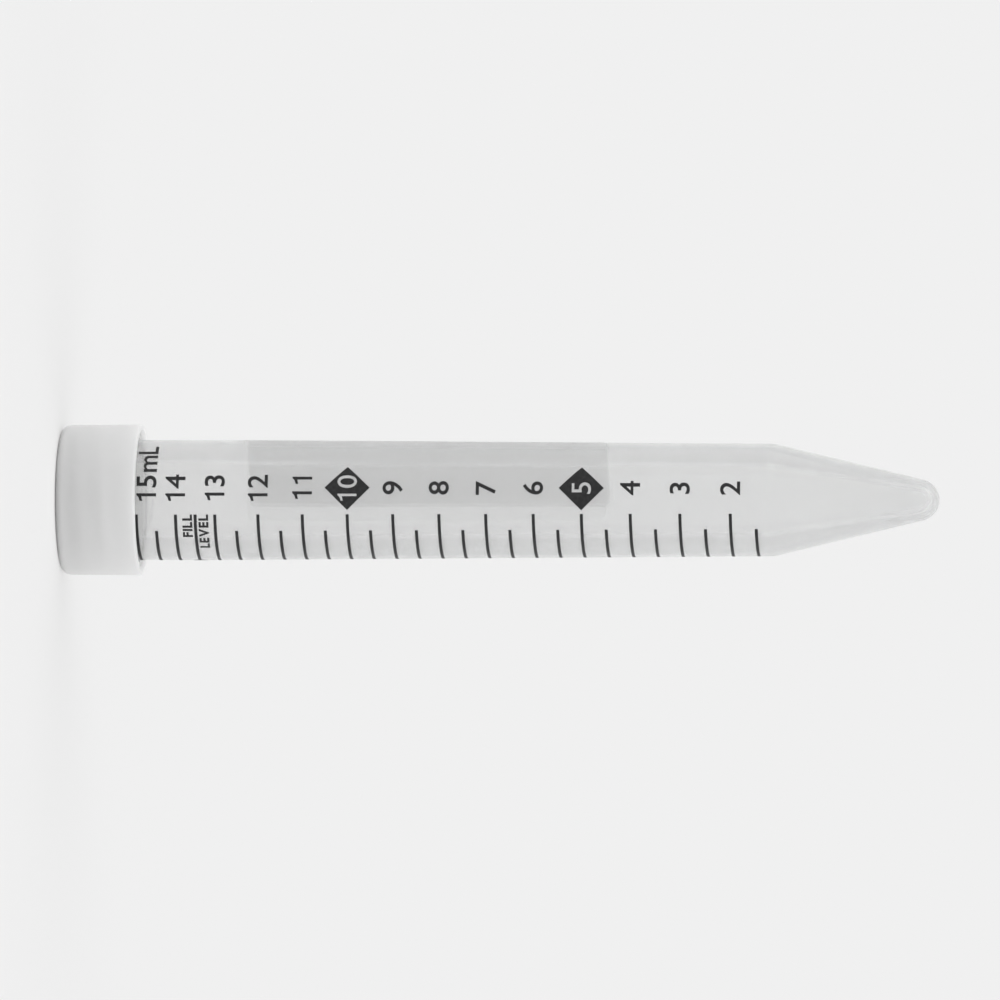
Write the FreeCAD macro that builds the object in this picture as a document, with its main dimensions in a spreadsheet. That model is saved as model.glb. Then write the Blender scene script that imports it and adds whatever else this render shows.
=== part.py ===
# A 15 ml conical centrifuge tube with its screw cap, in millimetres.
#
# The tube is one clear moulding and the cap is another. The tube is modelled upright in its own
# body with its tip at the origin, so that heights up its bore are fill heights. It is then turned
# over: a tube with no base of its own is stood on its flat cap. In the frame that the two share,
# the origin is the middle of the cap's top, which faces down, and +Z runs up to the tube's tip.
#
# The neck and the cap's skirt are plain here, with room between them for the screw thread.

import FreeCAD, Part
import math
import os
from types import SimpleNamespace

import Sketcher
from FreeCAD import Vector

SIZES = [
    ("tube_length", 118.5, "tube, from its rim to its tip"),
    ("body_d", 16.4, "outside of the body's straight band, which racks and rotor adapters hold"),
    ("body_band", 10.0, "length of that band, below the neck"),
    ("body_draft", 0.55, "narrowing of the body's radius from that band to the shoulder"),
    ("neck_rise", 0.4, "neck's outside above the body's, at the root of the neck's thread"),
    ("neck_length", 8.9, "neck, from the rim down"),
    ("neck_step", 0.4, "height of the slope from the neck to the body"),
    ("cone_length", 22.5, "cone outside, from its shoulder to the tip"),
    ("tip_round", 2.85, "radius of the tip outside"),
    ("mouth_wall", 0.5, "wall between that band and the mouth's bore, which takes the cap's plug"),
    ("mouth_bore_depth", 19.5, "straight part of the bore below the rim"),
    ("bore_taper_length", 3.0, "stretch in which the bore narrows below the neck"),
    ("body_wall", 0.9, "band's radius over the bore's below that taper"),
    ("shoulder_wall", 0.9, "shoulder's radius over the bore's where the bore's cone starts"),
    ("bore_cone_rise", 0.5, "start of the bore's cone, above the shoulder outside"),
    ("tip_wall", 1.2, "wall at the very tip"),
    ("tip_bore_round", 1.7, "radius of the bore's tip"),
    ("rim_round", 0.2, "rounding of the rim's edges"),
    ("shoulder_round", 5.0, "rounding where the body turns into the cone, inside and out"),
    ("taper_round", 2.0, "rounding where the bore narrows"),
    ("cap_height", 11.0, "cap, from its top to the end of its skirt"),
    ("cap_top", 1.5, "thickness of the cap's top, on which the rim seats"),
    ("thread_rise", 0.45, "height of the neck's thread"),
    ("thread_clearance", 0.15, "between that thread's crest and the skirt"),
    ("skirt_wall", 1.1, "wall of the skirt at its open end"),
    ("cap_draft", 0.1, "narrowing of the cap's radius towards its top"),
    ("crown_round", 1.3, "rounding between the cap's top and its side"),
    ("skirt_end_break", 0.3, "broken edge of the skirt's end outside"),
    ("skirt_lead_in", 0.4, "chamfer of the skirt's end inside"),
    ("plug_clearance", 0.12, "between the sealing plug and the mouth's bore"),
    ("plug_length", 2.8, "sealing plug, from the underside of the cap's top"),
    ("plug_wall", 0.9, "wall of the plug at its free end"),
    ("plug_draft", 0.25, "extra wall of the plug at its root, on its inner side"),
    ("plug_lead_in", 0.45, "chamfer of the plug's free end outside"),
    ("gate_d", 4.0, "dimple in the cap's top that holds the stub of the moulding gate"),
    ("gate_floor_d", 3.4, "floor of that dimple"),
    ("gate_depth", 0.4, "depth of that dimple"),
]


class Size:
    """A length: its number now, and the expression that ties it to the sheet."""

    def __init__(self, number, text):
        self.number = number
        self.text = text

    def __add__(self, other):
        return Size(self.number + other.number, f"({self.text} + {other.text})")

    def __sub__(self, other):
        return Size(self.number - other.number, f"({self.text} - {other.text})")

    def half(self):
        return Size(self.number / 2, f"({self.text} / 2)")


ZERO = Size(0.0, "0 mm")


def make_sheet(doc):
    """Fill a spreadsheet with the driving sizes, and give them back by name."""
    sheet = doc.addObject("Spreadsheet::Sheet", "sizes")
    for row, (alias, value, note) in enumerate(SIZES, start=1):
        sheet.set(f"A{row}", note)
        sheet.set(f"B{row}", str(value))
        sheet.setAlias(f"B{row}", alias)
    doc.recompute()
    sizes = {alias: Size(float(sheet.get(alias)), f"sizes.{alias}") for alias, _, _ in SIZES}
    return SimpleNamespace(**sizes)


def new_body(doc, name):
    body = doc.addObject("PartDesign::Body", name)
    body.Label = name
    return body


def section_sketch(body, name):
    """A sketch on the body's XZ plane, in which x is a radius and y a height."""
    sketch = body.newObject("Sketcher::SketchObject", name)
    plane = next(f for f in body.Origin.OriginFeatures if f.Role == "XZ_Plane")
    sketch.AttachmentSupport = [(plane, "")]
    sketch.MapMode = "FlatFace"
    return sketch


def dimension(sketch, name, kind, size, *where):
    """Add a dimension under a name of its own and tie it to the sheet."""
    index = sketch.addConstraint(Sketcher.Constraint(kind, *where, size.number))
    sketch.renameConstraint(index, name)
    sketch.setExpression(f"Constraints.{name}", size.text)


def place_point(sketch, name, radius, height, line, end):
    """Hold one end of a line at a radius and a height, or on an axis where either is zero."""
    if radius is ZERO:
        sketch.addConstraint(Sketcher.Constraint("PointOnObject", line, end, -2))
    else:
        dimension(sketch, f"{name}_radius", "DistanceX", radius, -1, 1, line, end)
    if height is ZERO:
        sketch.addConstraint(Sketcher.Constraint("PointOnObject", line, end, -1))
    else:
        dimension(sketch, f"{name}_height", "DistanceY", height, -1, 1, line, end)


def add_edges(sketch, corners):
    """Straight edges through the corners, each a (name, radius, height)."""
    points = [Vector(radius.number, height.number, 0) for _, radius, height in corners]
    for start, end in zip(points, points[1:]):
        sketch.addGeometry(Part.LineSegment(start, end))
    last = sketch.GeometryCount - 1
    for line in range(last):
        sketch.addConstraint(Sketcher.Constraint("Coincident", line, 2, line + 1, 1))
    for line, corner in enumerate(corners[:-1]):
        place_point(sketch, *corner, line, 1)
    place_point(sketch, *corners[-1], last, 2)


def close_edges(sketch, corners):
    """One more edge, from the last corner back to the first."""
    ends = [Vector(radius.number, height.number, 0) for _, radius, height in (corners[-1], corners[0])]
    line = sketch.addGeometry(Part.LineSegment(*ends))
    sketch.addConstraint(Sketcher.Constraint("Coincident", line - 1, 2, line, 1))
    sketch.addConstraint(Sketcher.Constraint("Coincident", line, 2, 0, 1))


def close_with_round_tip(sketch, corners, tip_height, tip_round):
    """A cone's flank from the last corner, a round tip tangent to it, and the axis back up."""
    (_, _, top), (_, radius, height) = corners[0], corners[-1]
    centre = tip_height.number + tip_round.number
    run = height.number - centre
    half_angle = math.atan2(radius.number, run) - math.asin(
        tip_round.number / math.hypot(radius.number, run)
    )
    touch = Vector(
        tip_round.number * math.cos(half_angle),
        centre - tip_round.number * math.sin(half_angle),
        0,
    )
    circle = Part.Circle(Vector(0, centre, 0), Vector(0, 0, 1), tip_round.number)
    flank = sketch.addGeometry(
        Part.LineSegment(Vector(radius.number, height.number, 0), touch)
    )
    tip = sketch.addGeometry(Part.ArcOfCircle(circle, -math.pi / 2, -half_angle))
    axis = sketch.addGeometry(
        Part.LineSegment(Vector(0, tip_height.number, 0), Vector(0, top.number, 0))
    )
    for joint in (
        ("Coincident", flank - 1, 2, flank, 1),
        ("Tangent", flank, 2, tip, 2),
        ("PointOnObject", tip, 3, -2),
        ("Coincident", tip, 1, axis, 1),
        ("Coincident", axis, 2, 0, 1),
    ):
        sketch.addConstraint(Sketcher.Constraint(*joint))
    dimension(sketch, "tip_round", "Radius", tip_round, tip)
    place_point(sketch, "tip", ZERO, tip_height, tip, 1)


def turn(body, kind, name, sketch):
    """A Revolution or a Groove of a section, all the way round the axis."""
    feature = body.newObject(f"PartDesign::{kind}", name)
    feature.Profile = sketch
    feature.ReferenceAxis = (sketch, ["V_Axis"])
    feature.Angle = 360
    sketch.Visibility = False
    body.Document.recompute()
    return feature


def ring_edges(feature, rings):
    """Names of the circular edges with these radii at these heights."""
    circles = [
        (f"Edge{number}", edge.Curve)
        for number, edge in enumerate(feature.Shape.Edges, start=1)
        if not edge.Degenerated and isinstance(edge.Curve, Part.Circle)
    ]
    names = [
        name
        for radius, height in rings
        for name, circle in circles
        if abs(circle.Radius - radius.number) < 1e-4
        and abs(circle.Center.z - height.number) < 1e-4
    ]
    if len(names) != len(rings):
        raise RuntimeError(f"{feature.Label}: {len(names)} of {len(rings)} edges were found")
    return names


def dress(body, kind, name, feature, rings, size):
    """A Fillet or a Chamfer on circular edges, its size tied to the sheet."""
    dressed = body.newObject(f"PartDesign::{kind}", name)
    dressed.Base = (feature, ring_edges(feature, rings))
    dressed.setExpression("Radius" if kind == "Fillet" else "Size", size.text)
    body.Document.recompute()
    return dressed


def make_tube(doc, s):
    """The clear tube: a neck, a drafted body, a cone with a round tip, and a drafted bore."""
    body = new_body(doc, "tube")
    radius = s.body_d.half()
    neck = radius + s.neck_rise
    rim_outside = (neck, s.tube_length)
    neck_end = s.tube_length - s.neck_length
    band_top = neck_end - s.neck_step
    shoulder = (radius - s.body_draft, s.cone_length)
    section = section_sketch(body, "outside_section")
    corners = [
        ("rim_middle", ZERO, s.tube_length),
        ("rim", *rim_outside),
        ("neck_end", neck, neck_end),
        ("band_top", radius, band_top),
        ("band_end", radius, band_top - s.body_band),
        ("shoulder", *shoulder),
    ]
    add_edges(section, corners)
    close_with_round_tip(section, corners, ZERO, s.tip_round)
    turn(body, "Revolution", "outside", section)

    mouth_end = s.tube_length - s.mouth_bore_depth
    rim_inside = (radius - s.mouth_wall, s.tube_length)
    taper_top = (radius - s.mouth_wall, mouth_end)
    taper_end = (radius - s.body_wall, mouth_end - s.bore_taper_length)
    bore_shoulder = (
        radius - s.body_draft - s.shoulder_wall,
        s.cone_length + s.bore_cone_rise,
    )
    section = section_sketch(body, "bore_section")
    corners = [
        ("mouth_middle", ZERO, s.tube_length),
        ("mouth", *rim_inside),
        ("taper_top", *taper_top),
        ("taper_end", *taper_end),
        ("bore_shoulder", *bore_shoulder),
    ]
    add_edges(section, corners)
    close_with_round_tip(section, corners, s.tip_wall, s.tip_bore_round)
    bore = turn(body, "Groove", "bore", section)

    shoulders = dress(
        body, "Fillet", "shoulder_rounds", bore, [shoulder, bore_shoulder], s.shoulder_round
    )
    tapers = dress(
        body, "Fillet", "taper_rounds", shoulders, [taper_top, taper_end], s.taper_round
    )
    dress(body, "Fillet", "rim_rounds", tapers, [rim_outside, rim_inside], s.rim_round)

    body.Placement.Rotation = FreeCAD.Rotation(Vector(1, 0, 0), 180)
    body.setExpression("Placement.Base.z", (s.tube_length + s.cap_top).text)
    return body


def make_cap(doc, s):
    """The screw cap: a flat top, a smooth drafted skirt, and a plug that seals the mouth."""
    body = new_body(doc, "cap")
    skirt_bore = s.body_d.half() + s.neck_rise + s.thread_rise + s.thread_clearance
    outside = skirt_bore + s.skirt_wall
    crown = (outside - s.cap_draft, ZERO)
    skirt_end = (outside, s.cap_height)
    skirt_mouth = (skirt_bore, s.cap_height)
    plug = s.body_d.half() - s.mouth_wall - s.plug_clearance
    plug_end = (plug, s.cap_top + s.plug_length)
    plug_bore = plug - s.plug_wall
    section = section_sketch(body, "section")
    corners = [
        ("gate", ZERO, s.gate_depth),
        ("gate_floor", s.gate_floor_d.half(), s.gate_depth),
        ("gate_edge", s.gate_d.half(), ZERO),
        ("crown", *crown),
        ("skirt_end", *skirt_end),
        ("skirt_mouth", *skirt_mouth),
        ("skirt_root", skirt_bore, s.cap_top),
        ("plug_root", plug, s.cap_top),
        ("plug_end", *plug_end),
        ("plug_bore_end", plug_bore, s.cap_top + s.plug_length),
        ("plug_bore_root", plug_bore - s.plug_draft, s.cap_top),
        ("underside", ZERO, s.cap_top),
    ]
    add_edges(section, corners)
    close_edges(section, corners)
    moulding = turn(body, "Revolution", "moulding", section)
    rounds = dress(body, "Fillet", "crown_round", moulding, [crown], s.crown_round)
    ends = dress(body, "Chamfer", "skirt_end_break", rounds, [skirt_end], s.skirt_end_break)
    leads = dress(body, "Chamfer", "skirt_lead_in", ends, [skirt_mouth], s.skirt_lead_in)
    dress(body, "Chamfer", "plug_lead_in", leads, [plug_end], s.plug_lead_in)
    return body


def check(doc, bodies):
    """Stop if any object failed or any body isn't one sound solid."""
    failed = [o.Label for o in doc.Objects if {"Invalid", "Error"} & set(o.State)]
    if failed:
        raise RuntimeError(f"these objects failed: {failed}")
    for body in bodies:
        shape = body.Shape
        if shape.isNull() or not shape.isValid() or len(shape.Solids) != 1:
            raise RuntimeError(f"{body.Label} isn't one valid solid")


def main():
    doc = FreeCAD.newDocument("conical_tube")
    sizes = make_sheet(doc)
    bodies = [make_tube(doc, sizes), make_cap(doc, sizes)]
    doc.recompute()
    check(doc, bodies)
    os.makedirs("parts", exist_ok=True)
    for body in bodies:
        body.Shape.exportStep(f"parts/{body.Label}.step")
        print(f"{body.Label}: {body.Shape.Volume / 1000:.3f} cm3")


main()
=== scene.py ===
"""A 15 ml conical tube and its screw cap, dressed for rendering.

The frame is the one that the solids share: the origin is the middle of the cap's top, which faces
down, and +Z runs up to the tube's tip. Sizes are given in millimetres, as a drawing gives them, and
are turned to metres where a mesh is made.

The angle round the tube is 0 at the front, which faces -Y, and grows towards +X.
"""

import logging
import math
from collections.abc import Iterable
from dataclasses import dataclass
from enum import Enum

import bmesh
import bpy
from mathutils import Matrix, Vector


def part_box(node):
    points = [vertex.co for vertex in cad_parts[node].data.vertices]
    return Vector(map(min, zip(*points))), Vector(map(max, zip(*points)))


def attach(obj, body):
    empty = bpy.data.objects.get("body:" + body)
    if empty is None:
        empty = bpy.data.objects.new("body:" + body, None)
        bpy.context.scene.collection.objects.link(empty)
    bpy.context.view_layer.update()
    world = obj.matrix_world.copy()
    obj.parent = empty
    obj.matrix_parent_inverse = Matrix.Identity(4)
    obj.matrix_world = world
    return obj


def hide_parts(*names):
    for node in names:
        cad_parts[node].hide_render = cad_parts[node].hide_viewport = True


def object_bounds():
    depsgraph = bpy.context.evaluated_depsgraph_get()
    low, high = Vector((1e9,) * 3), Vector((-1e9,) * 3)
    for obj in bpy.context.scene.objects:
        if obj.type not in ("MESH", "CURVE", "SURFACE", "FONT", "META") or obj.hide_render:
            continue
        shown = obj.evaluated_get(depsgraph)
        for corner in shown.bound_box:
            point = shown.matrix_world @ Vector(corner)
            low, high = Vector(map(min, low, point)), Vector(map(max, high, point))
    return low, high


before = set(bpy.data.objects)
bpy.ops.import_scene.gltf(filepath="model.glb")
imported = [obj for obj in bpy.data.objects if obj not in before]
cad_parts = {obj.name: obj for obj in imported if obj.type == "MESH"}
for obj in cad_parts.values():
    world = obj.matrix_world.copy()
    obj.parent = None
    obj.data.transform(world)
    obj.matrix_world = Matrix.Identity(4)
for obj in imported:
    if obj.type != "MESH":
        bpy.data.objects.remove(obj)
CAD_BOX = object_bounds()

MM = 0.001
FULL_TURN = 2 * math.pi
LOG = logging.getLogger("conical_tube")

Point = tuple[float, float]


class Slot(Enum):
    """The record's material slots."""

    TUBE = "clear_polypropylene"
    CAP = "natural_polyethylene"
    BLACK = "black_ink"
    WHITE = "white_ink"


# ---------------------------------------------------------------- helpers


def linear(hex_colour: str) -> tuple[float, float, float, float]:
    """Turn an sRGB hex colour to the linear one that a shader takes.

    Args:
        hex_colour: The colour, as "#RRGGBB".

    Returns:
        Red, green and blue from 0 to 1, and an alpha of 1.
    """
    parts = [int(hex_colour[place : place + 2], 16) / 255 for place in (1, 3, 5)]
    red, green, blue = (
        part / 12.92 if part <= 0.04045 else ((part + 0.055) / 1.055) ** 2.4 for part in parts
    )
    return red, green, blue, 1.0


def add_node(
    tree: bpy.types.NodeTree, kind: str, inputs: dict | None = None, **settings: object
) -> bpy.types.Node:
    """Add a node with its settings and links.

    Args:
        tree: The shader or geometry tree that gets the node.
        kind: The node's type.
        inputs: Values, sockets or nodes by the name or number of the input. A node stands for its
            first output.
        settings: The node's own properties.

    Returns:
        The node.
    """
    made = tree.nodes.new(kind)
    for name, value in settings.items():
        setattr(made, name, value)
    for key, value in (inputs or {}).items():
        if isinstance(value, bpy.types.Node):
            value = value.outputs[0]
        if isinstance(value, bpy.types.NodeSocket):
            tree.links.new(value, made.inputs[key])
        else:
            made.inputs[key].default_value = value
    return made


def new_material(name: str) -> tuple[bpy.types.Material, bpy.types.NodeTree]:
    """Make a material with an empty node tree.

    Args:
        name: The material's name.

    Returns:
        The material and its tree.
    """
    material = bpy.data.materials.new(name)
    material.use_nodes = True
    material.node_tree.nodes.clear()
    return material, material.node_tree


def add_object(name: str, mesh: bpy.types.Mesh) -> bpy.types.Object:
    """Put a mesh into the scene as an object at the origin.

    Args:
        name: The piece's name.
        mesh: Its mesh, in metres in the shared frame.

    Returns:
        The object.
    """
    made = bpy.data.objects.new(name, mesh)
    bpy.context.scene.collection.objects.link(made)
    return made


def mesh_from(sheet: bmesh.types.BMesh, name: str) -> bpy.types.Mesh:
    """Turn a mesh that was built in millimetres into one in metres, and free it.

    Args:
        sheet: The mesh being built.
        name: The finished mesh's name.

    Returns:
        The finished mesh.
    """
    bmesh.ops.scale(sheet, vec=(MM, MM, MM), verts=sheet.verts)
    mesh = bpy.data.meshes.new(name)
    sheet.to_mesh(mesh)
    sheet.free()
    return mesh


def plain_mesh(thing: bpy.types.Object) -> bpy.types.Mesh:
    """Copy what an object shows, with its modifiers or its letters, to a plain mesh."""
    depsgraph = bpy.context.evaluated_depsgraph_get()
    return bpy.data.meshes.new_from_object(thing.evaluated_get(depsgraph))


def run_tree(thing: bpy.types.Object, tree: bpy.types.NodeTree, values: dict[str, object]) -> None:
    """Run a Geometry Nodes tree on an object and keep the result as its plain mesh.

    Args:
        thing: The object, whose mesh is replaced.
        tree: The tree.
        values: The tree's inputs by name.
    """
    modifier = thing.modifiers.new(tree.name, "NODES")
    modifier.node_group = tree
    for item in tree.interface.items_tree:
        if item.item_type == "SOCKET" and item.in_out == "INPUT" and item.name in values:
            modifier[item.identifier] = values[item.name]
    made, before = plain_mesh(thing), thing.data
    thing.modifiers.remove(modifier)
    thing.data = made
    made.name = thing.name
    bpy.data.meshes.remove(before)


def new_tree(name: str, sizes: tuple[str, ...]) -> tuple[bpy.types.NodeTree, bpy.types.Node]:
    """Make a Geometry Nodes tree that takes a geometry, sizes and a material.

    Args:
        name: The tree's name.
        sizes: The name of each size.

    Returns:
        The tree and its group input node.
    """
    tree = bpy.data.node_groups.new(name, "GeometryNodeTree")
    kinds = {"Geometry": "Geometry"} | dict.fromkeys(sizes, "Float") | {"Material": "Material"}
    for socket, kind in kinds.items():
        tree.interface.new_socket(socket, in_out="INPUT", socket_type=f"NodeSocket{kind}")
    tree.interface.new_socket("Geometry", in_out="OUTPUT", socket_type="NodeSocketGeometry")
    return tree, tree.nodes.new("NodeGroupInput")


def end_tree(tree: bpy.types.NodeTree, geometry: bpy.types.Node, material: object) -> None:
    """End a Geometry Nodes tree in Realize Instances and Set Material.

    Args:
        tree: The tree.
        geometry: The node whose first output is the shape.
        material: The socket that gives the material.
    """
    real = add_node(tree, "GeometryNodeRealizeInstances", {"Geometry": geometry})
    dressed = add_node(tree, "GeometryNodeSetMaterial", {"Geometry": real, "Material": material})
    add_node(tree, "NodeGroupOutput", {"Geometry": dressed})


# ---------------------------------------------------------------- turned sections


@dataclass(frozen=True)
class Corner:
    """A corner of a turned section, in millimetres.

    Attributes:
        radius: Distance from the axis.
        height: Height above the floor.
        rounding: Radius of the arc that takes the corner off.
        spacing: The widest spacing of points on the stretch up to the next corner.
    """

    radius: float
    height: float
    rounding: float = 0.0
    spacing: float = math.inf


ARC_STEP = math.radians(11)  # the widest step along an arc
ARC_STEPS = 3  # the fewest steps along an arc
EDGE_STEP = 0.1  # how far from an arc the next ring stands, which keeps the shading flat beyond it
ON_AXIS = 1e-6  # the radius up to which a point counts as on the axis


def arc(centre: Vector, start: Vector, end: Vector) -> list[Point]:
    """Follow the short arc between two points of a circle.

    Args:
        centre: The circle's middle.
        start: The point where the arc starts.
        end: The point where it ends.

    Returns:
        The arc's points, both ends included.
    """
    first, last = start - centre, end - centre
    sweep = first.angle_signed(last)
    count = max(ARC_STEPS, math.ceil(abs(sweep) / ARC_STEP))
    return [
        tuple(centre + Matrix.Rotation(-sweep * step / count, 2) @ first)
        for step in range(count + 1)
    ]


def straight(start: Point, end: Point, spacing: float) -> list[Point]:
    """Put points between two ends, with one close to each, or none where the ends are near.

    Args:
        start: The first end.
        end: The other end.
        spacing: The widest spacing of the points.

    Returns:
        The points, both ends left out.
    """
    first, last = Vector(start), Vector(end)
    length = (last - first).length
    if length < 4 * EDGE_STEP:
        return []
    edge = EDGE_STEP / length
    count = max(1, math.ceil(length / spacing))
    inner = [edge + (1 - 2 * edge) * step / count for step in range(count + 1)]
    return [tuple(first.lerp(last, share)) for share in inner]


def outline(*corners: Corner) -> list[Point]:
    """Follow a section from its first corner to its last, with its roundings as arcs.

    Args:
        corners: The corners in order. The first and the last aren't rounded.

    Returns:
        The section's points, each a radius and a height.
    """
    arcs = [[(corners[0].radius, corners[0].height)]]
    for before, corner, after in zip(corners, corners[1:], corners[2:]):
        here = Vector((corner.radius, corner.height))
        if not corner.rounding:
            arcs.append([tuple(here)])
            continue
        back = (Vector((before.radius, before.height)) - here).normalized()
        on = (Vector((after.radius, after.height)) - here).normalized()
        half = back.angle(on) / 2
        reach = corner.rounding / math.tan(half)
        centre = here + (back + on).normalized() * corner.rounding / math.sin(half)
        arcs.append(arc(centre, here + back * reach, here + on * reach))
    arcs.append([(corners[-1].radius, corners[-1].height)])
    points = list(arcs[0])
    for corner, start, end in zip(corners, arcs, arcs[1:]):
        points += straight(start[-1], end[0], corner.spacing) + end
    return points


def round_tip(shoulder: Corner, tip: float, rounding: float) -> tuple[list[Point], Corner]:
    """Round the tip of a cone, and find where its flank leaves the rounding.

    Args:
        shoulder: Where the cone starts. It lies below the tip.
        tip: Height of the tip.
        rounding: Radius of the tip.

    Returns:
        The points from the axis down to the flank, and the flank's first corner.
    """
    centre = tip - rounding
    run = centre - shoulder.height
    half_angle = math.atan2(shoulder.radius, run) - math.asin(
        rounding / math.hypot(shoulder.radius, run)
    )
    touch = (rounding * math.cos(half_angle), centre + rounding * math.sin(half_angle))
    points = arc(Vector((0, centre)), Vector((0, tip)), Vector(touch))
    return points, Corner(*touch)


def turned(points: list[Point], rings: int) -> bmesh.types.BMesh:
    """Turn a section round the Z axis into a closed shell.

    Args:
        points: The section from axis to axis, each a radius and a height in millimetres.
        rings: The number of faces round the axis.

    Returns:
        The shell, with its faces pointing outwards and shaded smooth.
    """
    shell = bmesh.new()
    turns = [FULL_TURN * step / rings for step in range(rings)]
    circles = []
    for radius, height in points:
        around = turns if radius > ON_AXIS else [0.0]
        circles.append(
            [shell.verts.new((radius * math.cos(t), radius * math.sin(t), height)) for t in around]
        )
    for low, high in zip(circles, circles[1:]):
        for step in range(rings):
            after = (step + 1) % rings
            if len(low) == 1:
                shell.faces.new((low[0], high[step], high[after]))
            elif len(high) == 1:
                shell.faces.new((low[step], low[after], high[0]))
            else:
                shell.faces.new((low[step], low[after], high[after], high[step]))
    bmesh.ops.recalc_face_normals(shell, faces=shell.faces)
    for face in shell.faces:
        face.smooth = True
    return shell


# ---------------------------------------------------------------- the screw thread


WALL_TOLERANCE = 0.02  # how far off the wall a point may lie and still carry the thread


class Side(Enum):
    """The side of a wall that a thread stands on."""

    OUTSIDE = 1.0
    INSIDE = -1.0


@dataclass(frozen=True)
class Thread:
    """A single-start right-hand thread on a round wall, in millimetres and turns.

    Attributes:
        wall_radius: The wall that carries it.
        side: The side of the wall that it stands on.
        start: Height of its lower end.
        phase: Turn at which it starts, from 0 to 1.
        turns: Its length in turns.
        pitch: Rise of one turn.
        rise: How far it stands off the wall.
        crest: Half the width of its crest.
        foot: Half the width of its foot.
        fade: The stretch over which each end runs out, in turns.
    """

    wall_radius: float
    side: Side
    start: float
    phase: float = 0.0
    turns: float = 1.75
    pitch: float = 3.0
    rise: float = 0.45
    crest: float = 0.25
    foot: float = 0.72
    fade: float = 0.12

    def values(self) -> dict[str, object]:
        """The inputs of the screw_thread tree."""
        return {
            "Wall Radius": self.wall_radius * MM,
            "Rise": self.rise * MM * self.side.value,
            "Start": self.start * MM,
            "Phase": self.phase,
            "Turns": self.turns,
            "Pitch": self.pitch * MM,
            "Crest": self.crest * MM,
            "Foot": self.foot * MM,
            "Fade": self.fade,
        }


def thread_tree() -> bpy.types.NodeTree:
    """Build the tree that raises a helical thread on a turned wall.

    Every vertex finds the crest nearest to it up or down the wall. Its height off that crest gives
    the thread's flank, and the turns up to there give the run-out at both ends.

    Returns:
        The tree, with an input for each of the Thread's values and one for the material.
    """
    sizes = ("Wall Radius", "Rise", "Start", "Phase", "Turns", "Pitch", "Crest", "Foot", "Fade")
    tree, given = new_tree("screw_thread", sizes)
    size = given.outputs
    place = tree.nodes.new("GeometryNodeInputPosition")
    x, y, z = add_node(tree, "ShaderNodeSeparateXYZ", {0: place}).outputs
    flat = add_node(tree, "ShaderNodeCombineXYZ", {0: x, 1: y})
    radius = add_node(tree, "ShaderNodeVectorMath", {0: flat}, operation="LENGTH").outputs[1]
    outwards = add_node(tree, "ShaderNodeVectorMath", {0: flat}, operation="NORMALIZE")

    angle = add_node(tree, "ShaderNodeMath", {0: y, 1: x}, operation="ARCTAN2")
    turn = add_node(tree, "ShaderNodeMath", {0: angle, 1: FULL_TURN}, operation="DIVIDE")
    turn = add_node(tree, "ShaderNodeMath", {0: turn, 1: size["Phase"]}, operation="SUBTRACT")
    climb = add_node(tree, "ShaderNodeMath", {0: z, 1: size["Start"]}, operation="SUBTRACT")
    climb = add_node(tree, "ShaderNodeMath", {0: climb, 1: size["Pitch"]}, operation="DIVIDE")
    whole = add_node(tree, "ShaderNodeMath", {0: climb, 1: turn}, operation="SUBTRACT")
    nearest = add_node(tree, "ShaderNodeMath", {0: whole}, operation="ROUND")
    along = add_node(tree, "ShaderNodeMath", {0: turn, 1: nearest}, operation="ADD")
    left = add_node(tree, "ShaderNodeMath", {0: size["Turns"], 1: along}, operation="SUBTRACT")
    off = add_node(tree, "ShaderNodeMath", {0: whole, 1: nearest}, operation="SUBTRACT")
    off = add_node(tree, "ShaderNodeMath", {0: off, 1: size["Pitch"]}, operation="MULTIPLY")
    off = add_node(tree, "ShaderNodeMath", {0: off}, operation="ABSOLUTE")
    wall = size["Wall Radius"]
    gap = add_node(tree, "ShaderNodeMath", {0: radius, 1: wall}, operation="SUBTRACT")
    gap = add_node(tree, "ShaderNodeMath", {0: gap}, operation="ABSOLUTE")
    nearby = WALL_TOLERANCE * MM
    on_wall = add_node(tree, "ShaderNodeMath", {0: gap, 1: nearby}, operation="LESS_THAN")

    flank = {"From Min": size["Crest"], "From Max": size["Foot"], "To Min": 1.0, "To Max": 0.0}
    height, run_in, run_out = (
        add_node(tree, "ShaderNodeMapRange", ramp, interpolation_type="SMOOTHSTEP")
        for ramp in (
            flank | {"Value": off},
            {"Value": along, "From Max": size["Fade"]},
            {"Value": left, "From Max": size["Fade"]},
        )
    )
    for share in (run_in, run_out, on_wall, size["Rise"]):
        height = add_node(tree, "ShaderNodeMath", {0: height, 1: share}, operation="MULTIPLY")
    step = add_node(tree, "ShaderNodeVectorMath", {0: outwards, "Scale": height}, operation="SCALE")
    move = {"Geometry": size["Geometry"], "Offset": step}
    end_tree(tree, add_node(tree, "GeometryNodeSetPosition", move), size["Material"])
    return tree


# ---------------------------------------------------------------- the two mouldings


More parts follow.
